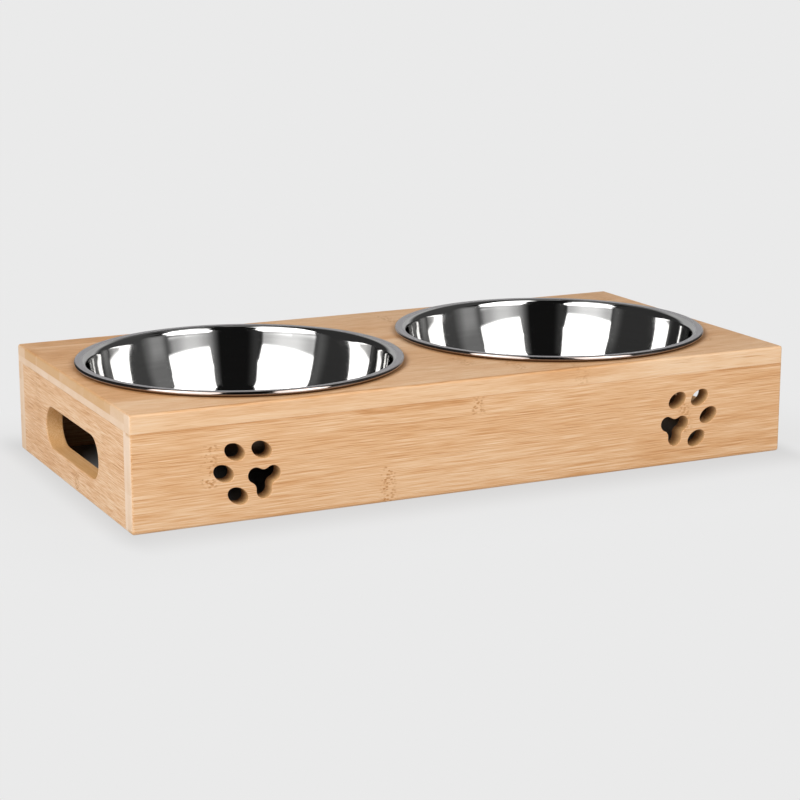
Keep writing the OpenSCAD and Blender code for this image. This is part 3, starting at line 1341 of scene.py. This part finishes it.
@dataclass(frozen=True)
class Dowels:
    """Fluted dowels that pin the boards together, set out by Geometry Nodes. Sizes in metres."""

    diameter: float = 5.0 * MM
    face_depth: float = 6.0 * MM
    edge_depth: float = 12.0 * MM
    end_gap: float = 0.5 * MM
    side_gap: float = 0.05 * MM
    chamfer: float = 0.6 * MM
    flutes: int = 14
    flute_depth: float = 0.12 * MM
    bore_steps: int = 32

    def bore(self, centre: Point, in_edge: bool) -> Cut:
        """Gives the bore for one end of a dowel, in a board's edge or in its face."""
        depth = (self.edge_depth if in_edge else self.face_depth) + self.end_gap
        return Cut(disc(centre, self.diameter / 2 + self.side_gap, self.bore_steps), 0.0, depth)

    @staticmethod
    def setter() -> GeometryGraph:
        """Makes the tree that sets a fluted dowel at each point of a mesh.

        Returns:
            A tree whose inputs are the dowel's sizes and its turn.
        """
        g = GeometryGraph("dowel_setter")
        diameter, face, edge = g.size("Diameter"), g.size("Face Depth"), g.size("Edge Depth")
        chamfer, flutes, deep = g.size("Chamfer"), g.size("Flutes", "Int"), g.size("Flute Depth")
        turn = g.size("Turn", "Rotation")
        length, radius = face + edge, diameter / 2.0
        flute_points, side_segments, end_from = 4.0, 3, 0.4
        body = g.node("GeometryNodeMeshCylinder", {}, {
            "Vertices": flutes * flute_points,
            "Side Segments": side_segments,
            "Radius": radius,
            "Depth": length,
        })
        x, y, z = g.split(g.node("GeometryNodeInputPosition"))
        at_end = abs(z).call("GREATER_THAN", length * end_from)
        flute = ((y.call("ARCTAN2", x) * flutes).call("COSINE") + 1.0) / 2.0
        shrink = 1.0 - (at_end * chamfer + (1.0 - at_end) * flute * deep) / radius
        level = z.call("SIGN") * (length / 2.0 - (1.0 - at_end) * chamfer) + (face - edge) / 2.0
        shaped = g.node("GeometryNodeSetPosition", {}, {
            "Geometry": body, "Position": g.vector(x * shrink, y * shrink, level),
        })
        g.close(g.node("GeometryNodeInstanceOnPoints", {}, {
            "Points": g.start, "Instance": shaped, "Rotation": turn,
        }))
        return g

    def build(self, row: DowelRow, setter: GeometryGraph, material: bpy.types.Material) -> bpy.types.Object:
        """Sets out one joint's dowels.

        Args:
            row: The joint.
            setter: The tree that sets dowels.
            material: Their finish.

        Returns:
            The dowels as one piece.
        """
        mesh = bpy.data.meshes.new(row.piece_name)
        mesh.from_pydata([Vector(p) for p in row.joints], [], [])
        dowels = new_piece(row.piece_name, mesh)
        setter.make(dowels, {
            "Diameter": self.diameter,
            "Face Depth": self.face_depth,
            "Edge Depth": self.edge_depth,
            "Chamfer": self.chamfer,
            "Flutes": self.flutes,
            "Flute Depth": self.flute_depth,
            "Turn": [math.radians(a) for a in row.turn],
            "Material": material,
        })
        attach(dowels, "stand", row.node)
        return dowels


@dataclass
class Box:
    """The bamboo box: five boards, their cut-outs and the dowels that pin them. Sizes in metres."""

    bowls: Sequence[Bowl]
    bowl_gap: float = 1.5 * MM
    hole_lip: float = 0.6 * MM
    hole_steps: int = 160
    slot_l: float = 94.0 * MM
    slot_h: float = 24.0 * MM
    slot_lip: float = 0.8 * MM
    slot_scorch_and_shade: float = 0.45
    slot_steps: int = 24
    paw: Paw = Paw()
    paw_inset: float = 72.5 * MM
    paw_drop: float = 5.0 * MM
    paw_turn: float = 60.0
    paw_lip: float = 0.4 * MM
    corner_inset: float = 12.0 * MM
    top_inset: float = 25.0 * MM
    top_middle: float = 60.0 * MM
    dowels: Dowels = Dowels()

    def __post_init__(self) -> None:
        """Reads the box's corners and joints from the frame."""
        self.low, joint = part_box("front_panel")
        self.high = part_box("top_panel")[1]
        self.joint_z = joint.z
        self.panel_t = self.high.z - self.joint_z
        self.corner_z = (self.corner_inset, self.joint_z - self.corner_inset)
        far = self.high.x - self.top_inset
        self.long_x = (-far, -self.top_middle, self.top_middle, far)
        reach = self.high.y - self.panel_t - self.top_inset
        self.short_y = (-reach, reach)
        self.mid_x = self.high.x - self.panel_t / 2
        self.mid_y = self.high.y - self.panel_t / 2

    def top(self) -> Board:
        """Describes the top board, with the bowls' holes and the bores under it.

        Returns:
            The board.
        """
        holes = [
            Cut(disc(bowl.axis(), bowl.neck_r() + self.bowl_gap, self.hole_steps), self.hole_lip)
            for bowl in self.bowls
        ]
        places = [(x, side * self.mid_y) for side in SIDES for x in self.long_x]
        places += [(side * self.mid_x, y) for side in SIDES for y in self.short_y]
        bores = {(2, Side.LOW): [self.dowels.bore(p, False) for p in places]}
        knuckles = [
            Knuckle(-63, -24, -2.5), Knuckle(12, -67.6, -46), Knuckle(34, -89.3, -67.6, 0.8),
            Knuckle(172, -67.6, -46, 0.8), Knuckle(27, 62.6, 84.3), Knuckle(65, -100, -89.3, 0.7),
            Knuckle(-181, 19.2, 41, 0.6), Knuckle(186, 62.6, 84.3, 0.7),
        ]
        # Two streaks paint shade: the one from -185 to 110 darkens the rounded front edge, partly its own
        # orange tone and partly painted shade against its highlight, and the one from -199 to -148 darkens
        # the top towards its left end.
        streaks = [
            Streak(-205, -189, -60, 62, -0.05, 5.0), Streak(-195, -45, 84, 101, -0.16),
            Streak(-30, 30, -60, -20, -0.07), Streak(-205, 205, -101, -99.3, 0.15),
            Streak(-205, -196, 63, 85, -0.15, 3.0), Streak(-185, 110, -99.9, -97.4, -0.24),
            Streak(-199, -148, -70, 80, -0.13, 16.0),
        ]
        return Board(
            "top_panel",
            "top_board",
            Lay.TOP,
            Side.HIGH,
            seam_at=84.3,
            seed=3.0,
            tone=0.02,
            drift=1.3,
            end_tan=(0.24, 0.28),
            knuckles=knuckles,
            streaks=streaks,
            holes=holes,
            bores=bores,
            # The bowls' rims, round which shadow is painted on the wood.
            rings=[(bowl.axis(), bowl.rim_d / 2) for bowl in self.bowls],
            stretch=0.6,
        )

    def front(self) -> Board:
        """Describes the front board, with its two paws.

        Returns:
            The board.
        """
        centre_z = self.joint_z / 2 - self.paw_drop
        paw_x = self.high.x - self.paw_inset
        holes = [
            Cut(contour, self.paw_lip)
            for side in SIDES
            for contour in self.paw.contours(-side * self.paw_turn, (side * paw_x, centre_z))
        ]
        knuckles = [
            Knuckle(-157, 20, 43), Knuckle(-55, -3, 20), Knuckle(-1, 43, 53), Knuckle(134, 18, 36, 0.75),
        ]
        # The streak from -1 to 2 mm darkens the bottom edge as painted shade where the board meets the floor.
        streaks = [
            Streak(-205, -72, 51.6, 53.5, -0.15), Streak(-72, -8, 49.3, 53.5, -0.22, 8.0),
            Streak(-8, 40, 52, 53.5, -0.12), Streak(150, 205, 51.5, 53.5, -0.20),
            Streak(160, 205, 44, 50.5, -0.10), Streak(-40, 118, 14.6, 15.7, -0.18),
            Streak(48, 150, 7.4, 8.4, -0.18), Streak(100, 205, 5, 13, -0.08),
            Streak(-124, -98, 17.4, 19.5, -0.14), Streak(-205, 205, -1, 2, -0.14),
            Streak(70, 205, -1, 54, -0.03, 30.0),
        ]
        return self._long_board("front", Side.LOW, 11.0, (0.03, 0.05), knuckles, streaks, holes)

    def back(self) -> Board:
        """Describes the back board, which is plain.

        Returns:
            The board.
        """
        knuckles = [
            Knuckle(-96, 20, 43), Knuckle(52, -3, 20), Knuckle(141, 20, 43), Knuckle(-20, 43, 53, 0.8),
        ]
        return self._long_board("back", Side.HIGH, 29.0, (0.32, 0.36), knuckles)

    def _long_board(
        self,
        name: str,
        face: Side,
        seed: float,
        end_tan: tuple[float, float],
        knuckles: Sequence[Knuckle],
        streaks: Sequence[Streak] = (),
        holes: Sequence[Cut] = (),
    ) -> Board:
        """Describes a front or back board with its bores.

        Args:
            name: Which board it is.
            face: The side of the box that it is on.
            seed: Seed of its strips.
            end_tan: How tanned its end grain is, in the skin and in the core.
            knuckles: Its knuckles.
            streaks: Its darker and paler stretches.
            holes: Its cut-outs.

        Returns:
            The board.
        """
        inner = Side(-face.value)
        bores = {
            (2, Side.HIGH): [self.dowels.bore((x, face.value * self.mid_y), True) for x in self.long_x],
            (1, inner): [
                self.dowels.bore((side * self.mid_x, z), False) for side in SIDES for z in self.corner_z
            ],
        }
        return Board(
            f"{name}_panel",
            f"{name}_board",
            Lay.LONG,
            face,
            seam_at=43.0,
            seed=seed,
            tone=0.01,
            drift=0.6,
            end_tan=end_tan,
            knuckles=knuckles,
            streaks=streaks,
            holes=holes,
            bores=bores,
        )

    def end(
        self, face: Side, seed: float, knuckles: Sequence[Knuckle], streaks: Sequence[Streak] = ()
    ) -> Board:
        """Describes an end board with its hand slot.

        Args:
            face: The side of the box that it is on.
            seed: Seed of its strips.
            knuckles: Its knuckles.
            streaks: Its darker and paler stretches.

        Returns:
            The board.
        """
        name = "left_end" if face is Side.LOW else "right_end"
        slot = stadium((0.0, self.joint_z / 2), self.slot_l, self.slot_h, self.slot_steps)
        corner = [self.dowels.bore((face.value * self.mid_x, z), True) for z in self.corner_z]
        bores = {
            (2, Side.HIGH): [self.dowels.bore((face.value * self.mid_x, y), True) for y in self.short_y],
            (1, Side.LOW): corner,
            (1, Side.HIGH): corner,
        }
        return Board(
            f"{name}_panel",
            f"{name}_board",
            Lay.END,
            face,
            seam_at=31.0,
            seed=seed,
            tone=0.02,
            grain=1.25,
            drift=1.3,
            knuckles=knuckles,
            streaks=streaks,
            holes=[Cut(slot, self.slot_lip, scorch_and_shade=self.slot_scorch_and_shade)],
            bores=bores,
            stretch=0.5,
        )

    def dowel_rows(self) -> list[DowelRow]:
        """Lists the joints with their dowels.

        Returns:
            One row for each joint.
        """
        rows = []
        upright = (0.0, 0.0, 0.0)
        for y_side, y_name in zip(SIDES, ("front", "back")):
            joints = [(x, y_side * self.mid_y, self.joint_z) for x in self.long_x]
            rows.append(DowelRow(f"top_dowels_{y_name}", f"top_pins_{y_name}", joints, upright))
            lying = (-QUARTER_TURN * y_side, 0.0, 0.0)
            face_y = y_side * (self.high.y - self.panel_t)
            for x_side, x_name in zip(SIDES, ("left", "right")):
                joints = [(x_side * self.mid_x, face_y, z) for z in self.corner_z]
                name = f"{y_name}_{x_name}"
                rows.append(DowelRow(f"corner_dowels_{name}", f"corner_pins_{name}", joints, lying))
        for x_side, x_name in zip(SIDES, ("left", "right")):
            joints = [(x_side * self.mid_x, y, self.joint_z) for y in self.short_y]
            rows.append(DowelRow(f"top_dowels_{x_name}", f"top_pins_{x_name}", joints, upright))
        return rows

    def build(self, bamboo: BambooFinish, beech: DowelFinish) -> None:
        """Builds the boards and sets the dowels in them.

        Args:
            bamboo: Finish of the boards.
            beech: Finish of the dowels.
        """
        left_knuckles = [Knuckle(-8, 0, 11), Knuckle(62, 31, 53, 0.6)]
        left_streaks = [Streak(-12, 0, 7, 12, -0.15, 4.0)]
        right_knuckles = [Knuckle(37, 31, 53), Knuckle(-71, 9, 31, 0.7)]
        boards = [
            self.top(),
            self.front(),
            self.back(),
            self.end(Side.LOW, 41.0, left_knuckles, left_streaks),
            self.end(Side.HIGH, 57.0, right_knuckles),
        ]
        for board in boards:
            board.build(self.low, self.high, bamboo)
        setter, wood = self.dowels.setter(), beech.material()
        for row in self.dowel_rows():
            self.dowels.build(row, setter, wood)


@dataclass(frozen=True)
class Glow:
    """A bright or dim stretch of the studio's walls, by angles in degrees about the camera's own azimuth.

    Each lean is how far that edge moves to the right for one degree of height.
    """

    left: float
    right: float
    low: float
    high: float
    bright: float
    blur: float = 0.8
    left_lean: float = 0.0
    right_lean: float = 0.0

    def light(self, around: Wire, up: Wire) -> Wire:
        """Gives the brightness that this stretch adds.

        Args:
            around: Angle about the vertical, in degrees.
            up: Angle above the horizon, in degrees.

        Returns:
            Its brightness there, 0 outside it.
        """
        half = (self.right - self.left) / 2
        off = around - (self.left + half - HALF_TURN)
        off = off.call("FLOORED_MODULO", FULL_TURN) - HALF_TURN
        raised = up - self.low
        inside = (off - raised * self.left_lean).step(-half - self.blur, self.blur - half)
        inside = inside * (1.0 - (off - raised * self.right_lean).step(half - self.blur, half + self.blur))
        return inside * up.within(self.low, self.high, self.blur) * self.bright


@dataclass(frozen=True)
class Softbox:
    """A large soft lamp, by its azimuth about the camera's own, its height in degrees and its watts."""

    name: str
    azimuth: float
    elevation: float
    power: float


@dataclass(frozen=True)
class Studio:
    """The pale floor, soft light, the walls that polished steel mirrors, and the camera.

    The floor glows outside the box. Close to it a share of bare paper, which ends over the fade, takes the
    box's shadow, and the glow is shaded over the reach given for the ends and for the long sides.
    """

    azimuth: float = -25.947
    elevation: float = 13.186
    roll: float = 0.031
    distance: float = 1.38204
    target: tuple[float, float, float] = (0.05607, 0.11440, 0.0)
    focal_px: float = 2128.585
    image_px: float = 800.0
    sensor: float = 36.0
    sight: float = 100.0
    backdrop: float = 0.823
    sky: float = 0.31
    floor_tone: float = 0.62
    floor_glow: float = 0.90
    # Tone of the paper under the box, darker as painted shade.
    floor_under_shade: float = 0.30
    floor_tuck: float = 2.5 * MM
    floor_reach: float = 40.0
    fade: Point = (10.0 * MM, 100.0 * MM)
    shade: float = 0.16
    shade_reach: Point = (20.0 * MM, 46.0 * MM)
    wall_r: float = 1.45
    wall_segments: int = 96
    wall_dark: float = 0.008
    lamp_size: float = 1.0
    softboxes: tuple[Softbox, ...] = (
        Softbox("left_softbox", -38.0, 36.0, 15.1),
        Softbox("right_softbox", 44.0, 36.0, 9.5),
    )
    glows: tuple[Glow, ...] = (
        Glow(-60, -17.5, 14.8, 24, 2.6, 0.9, -0.08, 0.31),
        Glow(-60.5, -14.6, 22, 46, 2.6, 0.9, -0.08, 0.0),
        Glow(-61, -40, 30, 66, 2.6, 1.5, -0.75, 0.0),
        Glow(-62, -14.8, 45, 62, 2.6, 0.9, -0.75, -0.44),
        Glow(-91, -22, 61, 79, 2.2, 1.5, -1.8, -1.25),
        Glow(-110, -38, 78, 81, 0.9, 1.5),
        Glow(-175, -122, 66, 76, 0.35, 3.0),
        Glow(25.2, 62, 15.7, 26, 2.6, 0.9, -0.18, 0.04),
        Glow(23.6, 63, 24, 46, 2.6, 0.9, 0.0, 0.12),
        Glow(45, 64, 30, 66, 2.6, 1.5, 0.0, 0.75),
        Glow(24.2, 64, 45, 62, 2.6, 0.9, 0.42, 0.75),
        Glow(31.5, 88, 61, 79, 2.2, 1.5, 1.1, 2.2),
        Glow(52, 100, 78, 80, 0.9, 1.5),
        Glow(122, 175, 66, 76, 0.35, 3.0),
        Glow(155, 205, 34, 66, 0.10, 8.0),
        Glow(-59.5, -17.6, 4, 22, 0.64, 1.2),
        Glow(-50, -26, 0, 24, 0.46, 8.0),
        Glow(24.5, 59, 4, 22, 0.47, 4.0),
        Glow(31.5, 49, 0, 24, 0.38, 7.0),
        Glow(-40, -17.2, -3, 8.9, 1.7, 1.1),
        Glow(-59.5, -40, -3, 7.8, 0.9, 1.5),
        Glow(25.2, 45, -3, 9.0, 1.7, 1.1),
        Glow(45, 60, -3, 8.4, 1.0, 1.5),
        Glow(20, 25, 5, 40, 0.20, 4.0),
        Glow(-17, -9, 5, 40, 0.04, 4.0),
        Glow(-68, -60, 2, 28, 0.10, 6.0),
        Glow(62, 84, 0, 32, 0.19, 5.0),
        Glow(66, 78, 4, 15, 0.14, 4.0),
        Glow(84, 160, 0, 60, 0.06, 4.0),
        Glow(-160, -62, 0, 60, 0.03, 4.0),
        Glow(150, 210, 0, 40, 0.46, 8.0),
    )

    def direction(self, azimuth: float, elevation: float) -> Vector:
        """Gives the way from the object to a place at these angles in degrees."""
        a, e = math.radians(azimuth), math.radians(elevation)
        return Vector((math.sin(a) * math.cos(e), -math.cos(a) * math.cos(e), math.sin(e)))

    def build(self) -> None:
        """Sets up the whole studio."""
        bpy.context.scene.view_settings.view_transform = "Standard"
        self._floor(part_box("top_panel")[1])
        self._world()
        self._lamps()
        self._walls()
        self._camera()

    def _floor(self, corner: Vector) -> None:
        """Lays the pale floor, which glows outside the box, keeps its shadow, and has painted shade close to
        the box and under it.

        Args:
            corner: The box's highest corner, which gives its footprint.
        """
        reach = self.floor_reach
        mesh = bpy.data.meshes.new("floor")
        corners = [(-reach, -reach, 0), (reach, -reach, 0), (reach, reach, 0), (-reach, reach, 0)]
        mesh.from_pydata(corners, [], [(0, 1, 2, 3)])
        floor = new_piece("floor", mesh)
        g = MaterialGraph("floor_paper")
        x, y, _ = g.split(g.place)
        beside = (abs(x) - (corner.x - self.floor_tuck)).call("MAXIMUM", 0.0)
        before = (abs(y) - (corner.y - self.floor_tuck)).call("MAXIMUM", 0.0)
        away = (beside * beside + before * before).call("SQRT")
        outside = away.step(0.0, MM)
        lit = outside * self.floor_glow + away.step(*self.fade) * (1.0 - self.floor_glow)
        # Under the box the paper is darker, as painted shade.
        tone = g.mix(outside, (self.floor_under_shade,) * 3, (self.floor_tone,) * 3)
        paper = g.node("ShaderNodeBsdfDiffuse", {}, {"Color": tone})
        by_end, by_side = beside / self.shade_reach[0], before / self.shade_reach[1]
        clear = (by_end * by_end + by_side * by_side).call("SQRT").step(0.0, 1.0)
        light = (clear * self.shade + (1.0 - self.shade)) * self.backdrop
        glow = g.node("ShaderNodeEmission", {}, {"Color": g.vector(light, light, light)})
        surface = g.node("ShaderNodeMixShader", {}, {0: lit, 1: paper, 2: glow})
        g.node("ShaderNodeOutputMaterial", {}, {"Surface": surface})
        g.material.cycles.emission_sampling = "NONE"
        floor.data.materials.append(g.material)

    def _world(self) -> None:
        """Lights the scene evenly, and shows the pale backdrop to the camera and to steel."""
        world = bpy.data.worlds.new("studio")
        bpy.context.scene.world = world
        world.use_nodes = True
        world.node_tree.nodes.clear()
        g = Graph(world.node_tree)
        path = g.node("ShaderNodeLightPath", {}, {}, "Is Camera Ray")
        seen = path.call("MAXIMUM", path.output("Is Glossy Ray"))
        seen = seen.call("MAXIMUM", path.output("Is Transmission Ray"))
        strength = seen * (self.backdrop - self.sky) + self.sky
        sky = g.node("ShaderNodeBackground", {}, {"Color": (1.0, 1.0, 1.0, 1.0), "Strength": strength})
        g.node("ShaderNodeOutputWorld", {}, {"Surface": sky})

    def _lamps(self) -> None:
        """Hangs the softboxes, which light the box but leave their mirror images to the walls."""
        for box in self.softboxes:
            lamp = bpy.data.lights.new(box.name, "AREA")
            lamp.energy = box.power
            lamp.size = self.lamp_size
            hung = bpy.data.objects.new(box.name, lamp)
            bpy.context.scene.collection.objects.link(hung)
            way = self.direction(self.azimuth + box.azimuth, box.elevation)
            hung.location = way * self.wall_r
            hung.rotation_euler = way.to_track_quat("Z", "Y").to_euler()
            hung.visible_glossy = False

    def _walls(self) -> None:
        """Builds the dim walls with bright panels, which only mirrored rays see."""
        mesh = bpy.data.meshes.new("studio_walls")
        bm = bmesh.new()
        segments = self.wall_segments
        bmesh.ops.create_uvsphere(bm, u_segments=segments, v_segments=segments // 2, radius=self.wall_r)
        bm.to_mesh(mesh)
        bm.free()
        walls = new_piece("studio_walls", mesh)
        g = MaterialGraph("studio_walls_glow")
        x, y, z = g.split(g.place)
        turn = math.radians(self.azimuth)
        front = x * math.sin(turn) - y * math.cos(turn)
        right = x * math.cos(turn) + y * math.sin(turn)
        around = right.call("ARCTAN2", front) * math.degrees(1.0)
        up = (z / self.wall_r).call("ARCSINE") * math.degrees(1.0)
        light: Wire | float = self.wall_dark
        for glow in self.glows:
            light = glow.light(around, up) + light
        shine = g.node("ShaderNodeEmission", {}, {"Color": g.vector(light, light, light)})
        g.node("ShaderNodeOutputMaterial", {}, {"Surface": shine})
        g.material.cycles.emission_sampling = "NONE"
        walls.data.materials.append(g.material)
        walls.visible_camera = walls.visible_diffuse = walls.visible_shadow = False
        walls.visible_transmission = walls.visible_volume_scatter = False

    def _camera(self) -> None:
        """Puts the camera where the photograph was taken from."""
        lens = bpy.data.cameras.new("camera")
        lens.sensor_width = self.sensor
        lens.lens = self.focal_px * self.sensor / self.image_px
        lens.clip_end = self.sight
        camera = bpy.data.objects.new("camera", lens)
        bpy.context.scene.collection.objects.link(camera)
        back = self.direction(self.azimuth, self.elevation)
        right = Vector((0.0, 0.0, 1.0)).cross(back).normalized()
        turn = Matrix((right, back.cross(right), back)).transposed().to_4x4()
        spot = Matrix.Translation(Vector(self.target) + back * self.distance)
        camera.matrix_world = spot @ turn @ Matrix.Rotation(math.radians(self.roll), 4, "Z")
        bpy.context.scene.camera = camera


def main() -> None:
    """Builds the studio, the bowls and the box, in that order."""
    logging.basicConfig(level=logging.INFO, format="%(name)s: %(message)s")
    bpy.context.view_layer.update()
    Studio().build()
    bowls = [Bowl(f"{side}_bowl", f"{side}_bowl_shell") for side in ("left", "right")]
    spinner, steel = Bowl.spinner(), SteelFinish()
    for bowl in bowls:
        bowl.build(spinner, steel)
    Box(bowls).build(BambooFinish(), DowelFinish())


if __name__ == "__main__":
    main()
